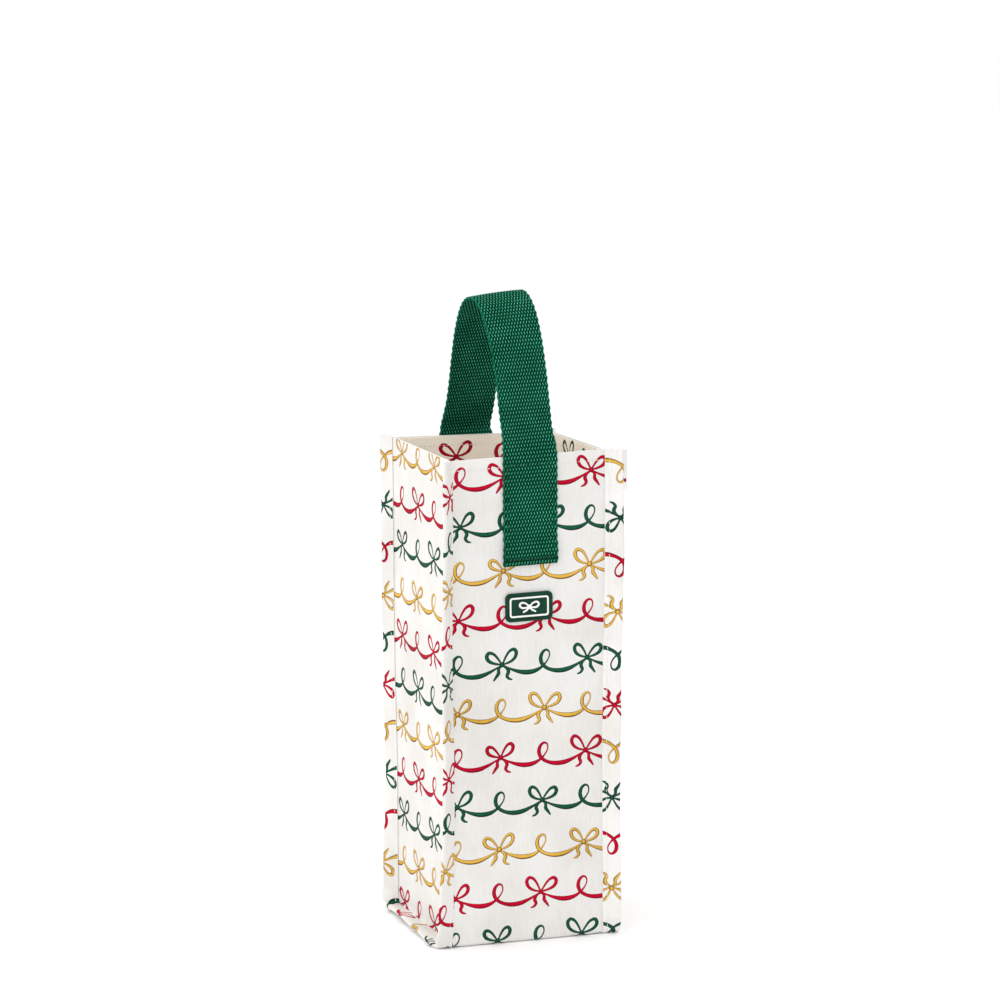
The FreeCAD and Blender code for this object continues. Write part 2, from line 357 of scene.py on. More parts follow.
def cloth_shell(name, outline, pieces, place, thickness, materials, pitch=5.0, bends=((), ())):
    """A closed sheet of printed cloth with a rounded edge. place(u, v, depth) gives points of the sheet,
    where depth is measured from its printed face. bends are the places in u and in v where it turns."""
    outline = refine(np.array(outline, float), pitch, bends)
    flat, triangles, colours, _ = triangulate(outline, pieces, pitch, bends)
    used, triangles = np.unique(triangles, return_inverse=True)
    flat, triangles = flat[used], triangles.reshape(-1, 3).tolist()
    loop = boundary_of(triangles)
    ring = flat[loop]
    forward = np.roll(ring, -1, axis=0) - np.roll(ring, 1, axis=0)
    outward = unit(np.column_stack([forward[:, 1], -forward[:, 0]]))
    back_flat, back_triangles, _, found_at = triangulate(ring, [], pitch * BACK_PITCH, bends)
    points = [place(flat[:, 0], flat[:, 1], np.zeros(len(flat)))]
    rows = [loop]
    total = len(flat)
    for turn in (pi / 4, pi / 2, 3 * pi / 4):
        edge = ring + outward * sin(turn) * thickness / 2
        depth = np.full(len(edge), thickness / 2 * (1 - cos(turn)))
        points.append(place(edge[:, 0], edge[:, 1], depth))
        rows.append(list(range(total, total + len(loop))))
        total += len(loop)
    points.append(place(back_flat[:, 0], back_flat[:, 1], np.full(len(back_flat), thickness)))
    rows.append([total + found_at[k] for k in range(len(loop))])
    faces = list(triangles)
    for near, far in zip(rows, rows[1:]):
        faces += np.column_stack([np.roll(near, -1), near, far, np.roll(far, -1)]).tolist()
    faces += [[total + i for i in reversed(t)] for t in back_triangles]
    colours = list(colours) + [0] * (len(faces) - len(triangles))
    thing = make_mesh(name, np.vstack(points), faces, materials, colours)
    smooth_normals(thing, place, flat)
    return thing


def sheet_normals(place, u, v, step):
    """Normals of a sheet's printed face."""
    depth = np.zeros(len(u))
    along = place(u + step, v, depth) - place(u - step, v, depth)
    up = place(u, v + step, depth) - place(u, v - step, depth)
    return unit(np.cross(along, up))


def smooth_normals(thing, place, flat):
    """Gives the printed face the normals of its surface, so that the cuts round the print don't show."""
    normals = np.zeros(len(thing.data.vertices) * 3)
    thing.data.vertices.foreach_get("normal", normals)
    normals = normals.reshape(-1, 3)
    normals[:len(flat)] = sheet_normals(place, *flat.T, 0.6)
    thing.data.normals_split_custom_set_from_vertices(normals.tolist())


# ---- bound seams
# Angle of each standing seam from the side wall's outward direction, at some heights
FIN_HEIGHTS = (3, 13, 95, RIM)
FIN_ANGLES = {
    (-1, -1): (0, 27, 45, 53),
    (1, -1): (0, 22, 44, 22),
    (-1, 1): (0, 50, 64, 64),
    (1, 1): (0, 44, 58, 60),
}
# How far the seams along the foot turn up from the floor, in degrees, at the places from front to back
FOOT_PLACES = (-CORNER, -38, -8, 22, CORNER - 9, CORNER)
FOOT_LIFTS = {-1: (0, 2, 11, 17, 13, 0), 1: (0, 1, 3, 4, 4, 0)}
# How much the tape rounds off the corner of a seam at the foot
CORNER_CUTS = {(-1, -1): 2.2, (1, -1): 0.7, (-1, 1): 3.4, (1, 1): 2.2}


def stepped(at, places, values):
    """Values at some places, with smooth steps between them."""
    result = np.full(np.shape(at), float(values[0]))
    for low, high, a, b in zip(places, places[1:], values, values[1:]):
        result = result + (b - a) * smooth((at - low) / (high - low))
    return result


def fin_angle(side, depth, z):
    return np.radians(stepped(z, FIN_HEIGHTS, FIN_ANGLES[(side, depth)]))


def foot_lift(side, y):
    return np.radians(stepped(y, FOOT_PLACES, FOOT_LIFTS[side]))


# The way to the right along each wall, seen from outside, and the way out of it
WALLS = {
    "front": np.array([(1.0, 0, 0), (0, -1, 0)]),
    "right": np.array([(0, 1.0, 0), (1, 0, 0)]),
    "back": np.array([(-1.0, 0, 0), (0, 1, 0)]),
    "left": np.array([(0, -1.0, 0), (-1, 0, 0)]),
}


def seam_rise(u):
    """How far the cloth of the foot rises to lie in the middle of its seams."""
    return (FIN_HALF - FABRIC) * smooth((np.abs(u) - CORNER) / SEAM_EASE + 1)


def wall_place(wall):
    """place() for an outer wall, turned out into the seams at its ends. At the foot the front and the back
    fold under, and the sides turn out into their seam."""
    right, out = WALLS[wall]
    folds_under = wall in ("front", "back")

    def place(u, v, depth):
        along, stand = np.empty((2, len(u)))
        for end in (-1, 1):
            here = u > 0 if end > 0 else u <= 0
            corner = right * end + out
            turn = fin_angle(round(corner[0]), round(corner[1]), v[here])
            turn = turn if folds_under else pi / 2 - turn
            straight = CORNER - (BEND + FABRIC) * np.tan(turn / 2)
            past = np.abs(u[here]) - straight
            angle = np.clip(past / BEND, 0, turn)
            beyond = np.maximum(past - BEND * turn, 0)
            run = np.minimum(np.abs(u[here]), straight) + beyond * np.cos(angle)
            along[here] = end * (run + (BEND + depth[here]) * np.sin(angle))
            stand[here] = BEND * (1 - np.cos(angle)) + beyond * np.sin(angle) - depth[here] * np.cos(angle)
        way, bend, turn, straight = -1, FOOT_BEND, pi / 2, FOOT_BEND
        if not folds_under:
            way, bend, turn = 1, BEND, pi / 2 + foot_lift(out[0], right[1] * u)
            straight = FIN_HALF + (BEND + FABRIC) * np.tan(turn / 2)
        past = np.maximum(straight - v, 0)
        angle = np.minimum(past / bend, turn)
        beyond = past - bend * angle
        radius = bend + way * depth
        z = np.maximum(v, straight) - radius * np.sin(angle) - beyond * np.cos(turn)
        stand += way * (radius * (1 - np.cos(angle)) + beyond * np.sin(turn))
        if folds_under:
            z += seam_rise(u) * (1 - smooth(v / SEAM_EASE))
        p = np.outer(along, right) + np.outer(HALF + stand, out)
        p[:, 2] = z
        return settle(p)

    return place


def rectangle(half_width, low, high):
    return [(-half_width, low), (half_width, low), (half_width, high), (-half_width, high)]


def wall_outline(wall):
    """A wall's cut, without its corners at the foot. The edge's own rounding adds to its height."""
    side = HALF + SEAM_INSIDE
    top = RIM - FABRIC / 2
    if wall in ("front", "back"):
        return rectangle(side, -FOOT_BEND * (pi / 2 - 1) - FOOT_TUCK, top)
    flap = SEAM_INSIDE - FIN_HALF - BEND
    inset, notch = CORNER - 4, 6
    return [
        (-inset, -flap), (inset, -flap), (inset, notch / 2), (HALF, notch), (side, notch), (side, top),
        (-side, top), (-side, notch), (-HALF, notch), (-inset, notch / 2),
    ]


def base_place(u, v, depth):
    """place() for the printed base panel, whose edges go into the seams along the foot."""
    beyond = np.maximum(np.abs(u) - CORNER, 0)
    lift = np.where(u > 0, foot_lift(1, v), foot_lift(-1, v))
    x = np.sign(u) * (np.minimum(np.abs(u), CORNER) + beyond * np.cos(lift))
    z = depth + seam_rise(u) + beyond * np.sin(lift)
    return settle(np.column_stack([x, -v, z]))


def lining_place(wall):
    """place() for a lining: its printed face looks into the bag."""
    right, out = WALLS[wall]

    def place(u, v, depth):
        p = np.outer(u, -right) + np.outer(CLEAR + depth, out)
        p[:, 2] = v
        return settle(p)

    return place


def base_lining_place(u, v, depth):
    return settle(np.column_stack([u, v, LINED_FLOOR - depth]))


# ---- the tape that binds a side's three edges
SEAM_DROP = RIM - FIN_HALF - CORNER_RADIUS
SEAM_TURN = CORNER_RADIUS * pi / 2
SEAM_LENGTH = 2 * (SEAM_DROP + SEAM_TURN + CORNER - CORNER_RADIUS)
TAPE_REACH = FIN_REACH + FABRIC
TAPE_HALF_WIDTH = TAPE_REACH - FIN_HALF - TAPE_START + FIN_HALF * pi / 2


def seam_frame(side, p):
    """(root, way out, normal, distance from the nearer rim) of the seam's middle at distances p along it,
    from the back rim down, along the foot and up to the front rim. The normal looks out of the bag."""
    from_rim = np.minimum(p, SEAM_LENGTH - p)
    depth = np.where(p < SEAM_LENGTH / 2, 1.0, -1.0)
    bend = np.clip((from_rim - SEAM_DROP) / CORNER_RADIUS, 0, pi / 2)
    z = RIM - np.minimum(from_rim, SEAM_DROP) - CORNER_RADIUS * np.sin(bend)
    inward = np.maximum(from_rim - SEAM_DROP - SEAM_TURN, 0)
    y = depth * (CORNER - CORNER_RADIUS * (1 - np.cos(bend)) - inward)
    angle = np.where(depth > 0, fin_angle(side, 1, z), fin_angle(side, -1, z))
    angle = np.where(inward > 0, -foot_lift(side, y), angle)[:, None]
    flat_out = np.array([side, 0.0, 0.0])
    flat_normal = np.column_stack([np.zeros(len(p)), depth * np.cos(bend), -np.sin(bend)])
    way_out = flat_out * np.cos(angle) + flat_normal * np.sin(angle)
    normal = flat_normal * np.cos(angle) - flat_out * np.sin(angle)
    return np.column_stack([np.full(len(p), side * CORNER), y, z]), way_out, normal, from_rim


def tape_place(side):
    """place() for a binding: u goes across it, round the tip of the seam at 0, and v along it."""

    def place(u, v, depth):
        root, way_out, normal, from_rim = seam_frame(side, np.clip(v, 0, SEAM_LENGTH))
        reach = TAPE_REACH + 0.3 * np.sin(v / 21) + 0.2 * np.sin(v / 8.3)
        cut = np.where(v < SEAM_LENGTH / 2, CORNER_CUTS[(side, 1)], CORNER_CUTS[(side, -1)])
        reach = reach - cut * np.exp(-(((from_rim - SEAM_DROP - SEAM_TURN / 2) / 5.0) ** 2))
        tip = FIN_HALF * pi / 2
        turn = np.clip((tip - np.abs(u)) / FIN_HALF, 0, pi / 2)
        flat_share = np.clip((np.abs(u) - tip) / (TAPE_HALF_WIDTH - tip), 0, 1.05)
        out = reach - FIN_HALF - flat_share * (reach - FIN_HALF - TAPE_START)
        pinch = 0.24 * np.exp(-(((out - SEAM_STITCH_REACH) / 1.3) ** 2)) * (turn <= 0)
        flare = 0.12 * np.clip((2.9 - out) / 0.9, 0, 1) ** 2
        puff = 0.1 * np.sin(v / 5.1 + np.sign(u)) * np.sin(pi * np.clip(flat_share, 0, 1))
        half = FIN_HALF - depth
        stand = -side * np.sign(u) * (half * np.cos(turn) - pinch + flare + puff)
        out = out + half * np.sin(turn)
        wave = 0.35 * np.sin(v / 17 + side) * (out / TAPE_REACH) ** 2
        beyond_end = v - np.clip(v, 0, SEAM_LENGTH)
        p = root + way_out * out[:, None] + normal * (stand + wave)[:, None]
        p[:, 2] -= np.where(v < SEAM_LENGTH / 2, 1, -1) * beyond_end
        return settle(p)

    return place


# ---- sewing
def stitch_frames(place, start, end, pitch, lift):
    """Middles, directions and normals of a run of stitches between two points of a sheet."""
    start, end = np.array(start, float), np.array(end, float)
    count = round(float(np.linalg.norm(end - start)) / pitch)
    share = (np.arange(count) + 0.5) / count
    uv = start + np.outer(share, end - start)
    step = (end - start) / np.linalg.norm(end - start) * 0.8
    zero = np.zeros(count)
    along = unit(place(*(uv + step).T, zero) - place(*(uv - step).T, zero))
    normal = sheet_normals(place, *uv.T, 0.3)
    return np.hstack([place(*uv.T, zero) + normal * lift, along, normal])


def sew(name, runs, length, width, thread):
    """One piece of several runs of stitches. A stitch is a bead of thread that dips into the cloth."""
    rings, sides, dip = 6, 8, 0.35
    bead = [(-0.5, 0.0, -dip)]
    for i in range(1, rings):
        t = i / rings
        girth = sin(pi * t) ** 0.45
        sunk = dip * abs(2 * t - 1) ** 3
        for y, z in disc(girth / 2, sides):
            bead.append((t - 0.5, y, z - sunk))
    bead.append((0.5, 0.0, -dip))
    bead = np.array(bead) * (length, width, width)
    last = len(bead) - 1
    faces = []
    for k in range(sides):
        after = (k + 1) % sides
        faces.append([0, 1 + after, 1 + k])
        for i in range(rings - 2):
            low, high = 1 + i * sides, 1 + (i + 1) * sides
            faces.append([low + k, low + after, high + after, high + k])
        faces.append([last, 1 + (rings - 2) * sides + k, 1 + (rings - 2) * sides + after])
    points, all_faces = [], []
    for i, stitch in enumerate(np.vstack(runs)):
        middle, along, normal = stitch.reshape(3, 3)
        across = np.cross(normal, along)
        slant = 0.09 * sin(i * 2.4) + 0.05
        forward = along * cos(slant) + across * sin(slant)
        sideways = np.cross(normal, forward)
        size = 1 + 0.06 * sin(i * 1.7)
        points.append(middle + bead @ np.vstack([forward * size, sideways, normal]))
        all_faces += [[i * len(bead) + k for k in f] for f in faces]
    thing = make_mesh(name + "_stitches", np.vstack(points), all_faces, [THREADS[thread]])
    finish_piece(thing, thread, name + "_stitching")


# ---- materials
WEAVE_PITCH = 0.62
MATT_SPREAD = 0.08  # how far the roughness falls below a material's own
GLOW = 0.05  # emission: painted light on the lining, and the floor's even brightness


def join(output, socket):
    output.id_data.links.new(output, socket)


def add(source, kind, inputs=(), **settings):
    """A node in source's tree, whose inputs are values or other nodes' outputs. Gives its outputs."""
    node = source.id_data.nodes.new(kind)
    for key, value in settings.items():
        setattr(node, key, value)
    for key, value in dict(inputs).items():
        if isinstance(value, bpy.types.NodeSocket):
            join(value, node.inputs[key])
        else:
            node.inputs[key].default_value = value
    return node.outputs


def new_material(name, roughness, specular):
    """A material, the inputs of its Principled shader, and the object's coordinates."""
    material = bpy.data.materials.new(name)
    material.use_nodes = True
    shader = material.node_tree.nodes["Principled BSDF"].inputs
    shader["Roughness"].default_value = roughness
    shader["Specular IOR Level"].default_value = specular
    return material, shader, add(material.node_tree, "ShaderNodeTexCoord")["Object"]


def calculate(operation, first, second=0.0):
    return add(first, "ShaderNodeMath", {0: first, 1: second}, operation=operation)[0]


def plus(first, second):
    return calculate("ADD", first, second)


def times(first, second):
    return calculate("MULTIPLY", first, second)


def sine(value, wavelength):
    """A sine along a length in metres, with its wavelength in millimetres."""
    return calculate("SINE", times(value, 2 * pi / (wavelength * MM)))


def noise(place, scale, detail):
    inputs = {"Vector": place, "Scale": scale, "Detail": detail}
    return add(place, "ShaderNodeTexNoise", inputs)["Fac"]


def stretched(place, scale):
    return add(place, "ShaderNodeMapping", {"Vector": place, "Scale": scale})[0]


def colour_by(value, stops, shader):
    """Base colour along value. stops: (position, linear colour)."""
    colour_out = add(value, "ShaderNodeValToRGB", {"Fac": value})["Color"]
    elements = colour_out.node.color_ramp.elements
    while len(elements) < len(stops):
        elements.new(0.5)
    for element, (position, colour) in zip(elements, stops):
        element.position = position
        element.color = (*colour, 1)
    join(colour_out, shader["Base Color"])


def roughness_by(value, roughness, rise, shader):
    inputs = {"Value": value, "To Min": roughness - MATT_SPREAD, "To Max": roughness + rise}
    join(add(value, "ShaderNodeMapRange", inputs)[0], shader["Roughness"])


def bumps_by(height, strength, distance, shader):
    """Relief on a surface, with distance in millimetres."""
    inputs = {"Strength": strength, "Distance": distance * MM, "Height": height}
    join(add(height, "ShaderNodeBump", inputs)[0], shader["Normal"])


def glow(shader, colour):
    shader["Emission Color"].default_value = colour
    shader["Emission Strength"].default_value = GLOW


def screen_colour(*levels):
    """Linear colour from the 0 to 255 red, green and blue that a screen shows."""
    shares = [level / 255 for level in levels]
    return tuple(c / 12.92 if c <= 0.04045 else ((c + 0.055) / 1.055) ** 2.4 for c in shares)


def axes_of(place):
    return add(place, "ShaderNodeSeparateXYZ", {"Vector": place})


def cloth_material(name, dark, light, roughness=0.8):
    """Printed cotton: a fine weave, slubs in the yarn and soft mottling between two colours."""
    material, shader, place = new_material(name, roughness, 0.1)
    slubs = noise(stretched(place, (1, 1, 0.12)), 900, 2)
    mottling = plus(times(noise(place, 28, 2), 0.65), times(slubs, 0.35))
    colour_by(mottling, [(0.36, dark), (0.62, light)], shader)
    axes = axes_of(place)
    weave = times(sine(plus(axes["X"], axes["Y"]), WEAVE_PITCH), sine(axes["Z"], WEAVE_PITCH))
    bumps_by(plus(weave, times(slubs, 1.2)), 0.35, 0.12, shader)
    roughness_by(slubs, roughness, 0.1, shader)
    return material


def cloth_set(name, dark, light):
    """The ground and the inks of one cloth, in the order of print_pieces' ink numbers."""
    materials = [cloth_material(name, screen_colour(*dark), screen_colour(*light))]
    for ink, colours in INK_COLOURS.items():
        for part, colour in zip(("edge", "middle"), colours):
            base = screen_colour(*colour)
            deep = tuple(c * 0.72 for c in base)
            materials.append(cloth_material(f"{name}_{ink}_{part}", deep, base, 0.7))
    return materials


OUTSIDE = cloth_set("printed_cloth", (224, 221, 216), (235, 233, 230))
# Painted light: the right binding is a lighter copy of the same printed cloth, standing in for the light
# that falls on it
RIGHT_TAPE_PAINTED_LIGHTER = cloth_set("printed_tape", (230, 228, 224), (243, 241, 238))
INSIDE = cloth_set("lining_cloth", (250, 239, 223), (255, 249, 238))

# Painted light: a faint warm glow on the lining stands in for the light inside the bag, so that the lining
# doesn't go dark
glow(INSIDE[0].node_tree.nodes["Principled BSDF"].inputs, (1, 0.9, 0.78, 1))


def thread_material(name, dark, light):
    material, shader, place = new_material(name, 0.5, 0.4)
    axes = axes_of(place)
    twist = sine(plus(axes["X"], plus(axes["Y"], axes["Z"])), 0.35)
    # Painted shade in the twist's grooves and a painted highlight on its ridges, along the same sine as
    # the bumps
    share = plus(times(twist, 0.35), 0.5)
    colour_by(share, [(0.2, screen_colour(*dark)), (0.8, screen_colour(*light))], shader)
    bumps_by(twist, 0.5, 0.08, shader)
    return material


def webbing_material():
    """Polyester webbing, with a painted highlight on top of its floats and painted shade between them,
    from the weave's height.
    """
    material, shader, place = new_material("green_webbing", 0.75, 0.03)
    relief = add(place, "ShaderNodeAttribute", attribute_name="relief")["Fac"]
    fibres = noise(place, 2600, 2)
    value = plus(relief, times(calculate("SUBTRACT", fibres, 0.5), 0.5))
    value = plus(value, times(calculate("SUBTRACT", noise(place, 60, 2), 0.5), 0.3))
    # Painted shade in the gaps between floats, rising to a painted highlight on their tops
    shade_to_highlight = [(0.15, (3, 48, 31)), (0.5, (10, 124, 92)), (0.95, (118, 224, 188))]
    colour_by(value, [(position, screen_colour(*shade)) for position, shade in shade_to_highlight], shader)
    bumps_by(fibres, 0.4, 0.08, shader)
    return material


def rubber_material(name, dark, light, roughness):
    """Soft moulded rubber: fine matt grain and faint mottling."""
    material, shader, place = new_material(name, roughness, 0.15)
    grain = noise(place, 3200, 3)
    mottling = noise(place, 160, 2)
    colour_by(mottling, [(0.3, screen_colour(*dark)), (0.7, screen_colour(*light))], shader)
    roughness_by(grain, roughness, 0.12, shader)
    bumps_by(grain, 0.25, 0.06, shader)
    return material


def board_material():
    """Grey recycled board with flecks and pressed fibres."""
    material, shader, place = new_material("grey_board", 0.85, 0.2)
    fibres = noise(stretched(place, (1, 0.15, 1)), 1400, 4)
    value = times(plus(fibres, noise(place, 420, 2)), 0.5)
    colour_by(value, [(0.35, screen_colour(112, 102, 88)), (0.6, screen_colour(158, 147, 130))], shader)
    bumps_by(fibres, 0.4, 0.1, shader)
    return material


THREADS = {
    "white_thread": thread_material("white_thread", (214, 208, 200), (252, 250, 247)),
    "green_thread": thread_material("green_thread", (0, 44, 26), (20, 104, 72)),
}
WEBBING = webbing_material()
PATCH_GREEN = rubber_material("patch_rubber", (5, 49, 33), (13, 66, 46), 0.45)
PATCH_WHITE = rubber_material("patch_marks", (238, 240, 234), (252, 253, 249), 0.5)
BOARD = board_material()


# ---- cloth pieces
def finish_piece(thing, slot, *nodes):
    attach(thing, "bag")
    if nodes:
        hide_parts(*nodes)


def across_bend(middle, reach):
    """Places from reach before to reach after the middle of a bend."""
    count = round(reach / BEND_STEP)
    return [middle + k * BEND_STEP for k in range(-count, count + 1)]


def across_both(middle, reach):
    return across_bend(-middle, reach) + across_bend(middle, reach)


def extent(outline):
    points = np.array(outline, float)
    return points.min(0), points.max(0)


def cloth_piece(node, outline, place, garlands, lining, bends=((), ())):
    """A panel or a lining. garlands: the height and the ink of its top garland, and a bow's place."""
    low, high = extent(outline)
    pieces = print_pieces(low, high, *garlands)
    thickness, cloth = (LINING, INSIDE) if lining else (FABRIC, OUTSIDE)
    thing = cloth_shell(node + "_cloth", outline, pieces, place, thickness, cloth, bends=bends)
    finish_piece(thing, "lining_fabric" if lining else "printed_fabric", node)


RED, GREEN, GOLD = range(len(INK_COLOURS))
PRINTS = {
    "front_panel": (RIM - 13, RED, -16.6),
    "back_panel": (RIM - 21, GREEN, 5),
    "left_side_panel": (RIM - 8, GOLD, -37),
    "right_side_panel": (RIM - 17, GREEN, 12),
    "front_lining": (RIM - 20, GOLD, 8),
    "back_lining": (RIM - 15, RED, -12),
    "left_lining": (RIM - 24, RED, 20),
    "right_lining": (RIM - 12, GREEN, -14),
}
PANEL_BENDS = (across_both(CORNER, 3.0), across_bend(FOOT_BEND / 2, 2.8))
LINING_CUT = rectangle(CORNER - LINING, LINED_FLOOR, RIM - LINING_DROP - LINING / 2)
for node, garlands in PRINTS.items():
    wall = node.split("_")[0]
    if node.endswith("_lining"):
        cloth_piece(node, LINING_CUT, lining_place(wall), garlands, True)
    else:
        cloth_piece(node, wall_outline(wall), wall_place(wall), garlands, False, PANEL_BENDS)

base_depth = HALF - FOOT_BEND - FOOT_TUCK - FABRIC
base_cut = rectangle(HALF + SEAM_INSIDE - FIN_HALF, -base_depth, base_depth)
base_bends = (across_both(CORNER, 2.0), ())
cloth_piece("base_panel", base_cut, base_place, (40, GOLD, 3.0), False, base_bends)
floor_half = CLEAR - LINING / 2
floor_cut = rectangle(floor_half, -floor_half, floor_half)
cloth_piece("base_lining", floor_cut, base_lining_place, (38, RED, -9.0), True)


# ---- bindings and their stitches
def binding(side, name, cloth, turned_over, garlands):
    outline = rectangle(TAPE_HALF_WIDTH, 0, SEAM_LENGTH)
    low, high = extent(outline)
    if turned_over:
        pieces = [(-corners, ink) for corners, ink in print_pieces(-high, -low, *garlands)]
    else:
        pieces = print_pieces(low, high, *garlands)
    turn = across_bend(SEAM_DROP + SEAM_TURN / 2, 4.0)
    bends = (across_bend(0, 2.2), turn + [SEAM_LENGTH - v for v in turn])
    tape = tape_place(side)
    thing = cloth_shell(name + "_binding", outline, pieces, tape, TAPE, cloth, 2.2, bends)
    nodes = [f"{place}_{name}_binding" for place in ("front", "back", "bottom")]
    finish_piece(thing, "printed_tape", *nodes)
    edge = TAPE_HALF_WIDTH - (SEAM_STITCH_REACH - TAPE_START)
    start, end = STITCH_END, SEAM_LENGTH - STITCH_END
    runs = [stitch_frames(tape, (u, start), (u, end), BINDING_PITCH, ON_CLOTH) for u in (-edge, edge)]
    sew(name + "_binding", runs, BINDING_PITCH - STITCH_GAP, WHITE_GIRTH, "white_thread")


binding(-1, "left", OUTSIDE, False, (SEAM_LENGTH - 23, RED, 8.0))
binding(1, "right", RIGHT_TAPE_PAINTED_LIGHTER, True, (-25, RED, 15.0))


# ---- topstitching round the rim
def hem_stitches(wall):
    reach = HALF - STITCH_END
    height = (HEM_LOW.z + HEM_HIGH.z) / 2
    covered = STRAP_WIDTH / 2 + 1
    strap_wall = wall in ("front", "back")
    spans = [(-reach, -covered), (covered, reach)] if strap_wall else [(-reach, reach)]
    spans = [(wall_place(wall), *span) for span in spans] + [(lining_place(wall), -reach, reach)]
    runs = []
    for place, start, end in spans:
        runs.append(stitch_frames(place, (start, height), (end, height), HEM_PITCH, ON_CLOTH))
    sew(wall + "_hem", runs, HEM_PITCH - STITCH_GAP, WHITE_GIRTH, "white_thread")


for wall in WALLS:
    hem_stitches(wall)


# ---- webbing handle
COLUMNS = 36  # of floats
WARP_PITCH = STRAP_WIDTH / COLUMNS
FLOAT_PITCH = 5.0
FLOAT_SHARE = 0.48  # of a column that lies on top
ZIGZAG = 0.3  # sideways swing of a column
RELIEF = 0.3
LAYER = (END_HIGH.y - END_LOW.y) / 4  # half the webbing, whose end is folded double
SEWN = HALF + LAYER + 0.1  # middle of the webbing where it is sewn on
FOLD = 12.0  # end turned under
CROSS_STITCH = 4.5  # from the strap's foot up to its level row of stitches
SELVEDGE = 0.9
STRAP_STEP = 0.62  # between the rows of the mesh
# Middle of the loop from the front to its top: (depth, rise above the rim)
ARCH = [
    (SEWN, -6), (SEWN - 0.4, 1), (SEWN - 2.2, 7), (49.7, 15), (45, 30), (40, 47), (34.8, 62),
    (29.2, 75), (20.8, 88.2), (11, 97.4), (0, 101),
]


def strap_line():
    """Evenly spaced places along the webbing's middle, from end to end, with their depths and heights."""
    end = [(0, FOLD), (0, 6), (0, 2 * LAYER)]
    for turn in (pi / 4, pi / 2, 3 * pi / 4):
        end.append((LAYER * (1 - cos(turn)), LAYER * (2 - sin(turn))))
    end += [(2 * LAYER, 2 * LAYER), (2 * LAYER, 6), (2 * LAYER, FOLD)]
    end += [(0.5 * LAYER, FOLD + 4), (0, FOLD + 9), (0, RIM - 30 - STRAP_FOOT)]
    half = [(SEWN + out, STRAP_FOOT + rise) for out, rise in end]
    half += [(depth, RIM + rise) for depth, rise in ARCH]
    line = half + [(-depth, height) for depth, height in reversed(half[:-1])]
    dense = curve_through(line, 0.3)
    length = run_along(dense)
    even = np.linspace(0, length[-1], round(length[-1] / STRAP_STEP))
    return even, np.interp(even, length, dense[:, 0]), np.interp(even, length, dense[:, 1])


def float_height(across, along):
    """Height of the weave, from 0 between floats to 1 on top of one."""
    column = across / WARP_PITCH + COLUMNS / 2
    number = np.floor(column + 1e-6)
    share = column - number
    phase = (along / FLOAT_PITCH + 0.5 * (number % 2)) % 1
    ridge = np.sin(pi * np.clip(share, 0, 1)) ** 0.6
    grain = np.sin(pi * np.clip(phase / FLOAT_SHARE, 0, 1)) ** 0.7
    return ridge * (0.1 + 0.9 * grain)


def loop_shape(depth, height):
    """(sideways shift, turn about the upright, roll) of the webbing at each point of its line."""
    shift = np.interp(depth, (-55, -48, -20, 0, 20, 40, 55), (-3.8, -4.6, -4.0, -2.6, -0.4, 1.1, 1.2))
    sewn = smooth((RIM - height) / (RIM - STRAP_FOOT))
    shift = shift * np.where(depth < 0, 1 - 0.6 * sewn, 1)
    free = np.where(depth < 0, smooth((height - RIM + 7) / 12), smooth((height - RIM + 3) / 20))
    turn = free * radians(1) * np.interp(depth, (-55, -40, -10, 15, 40, 50, 55), (14, 13, 4, 3, 9, 10, 8))
    roll = radians(5) * smooth(1 - np.abs(depth) / 48)
    return shift, turn, roll


